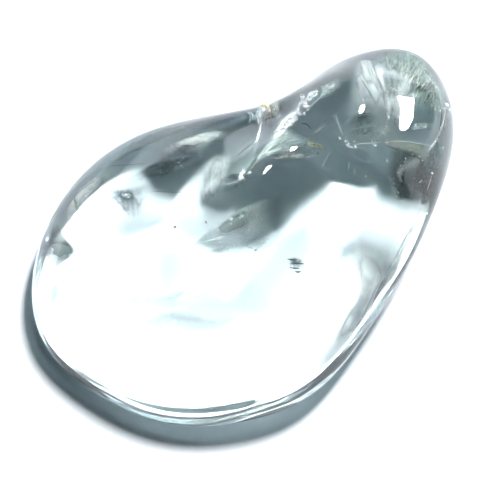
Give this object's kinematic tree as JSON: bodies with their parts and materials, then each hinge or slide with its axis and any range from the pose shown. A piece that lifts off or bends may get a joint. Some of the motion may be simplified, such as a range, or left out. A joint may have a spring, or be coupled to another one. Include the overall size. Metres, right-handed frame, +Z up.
{
  "type": "tumbled stone",
  "caption": "Clear, pale aqua tumbled stone, pear-shaped with a flat rounded lobe and a thicker knob; rests on a small flat spot.",
  "frame": {"origin": "on the ground under the middle of the stone's box", "axes": "+X along the stone's length towards the thicker knob, +Y across it, +Z up from the ground"},
  "size_m": [0.0276, 0.0186, 0.0103],
  "materials": {
    "clear_stone": "tumble-polished clear stone with a faint aqua tint, fine scratches and inner cracks"
  },
  "bodies": {
    "root": {"tumbled_stone": "clear_stone"}
  },
  "joints": []
}
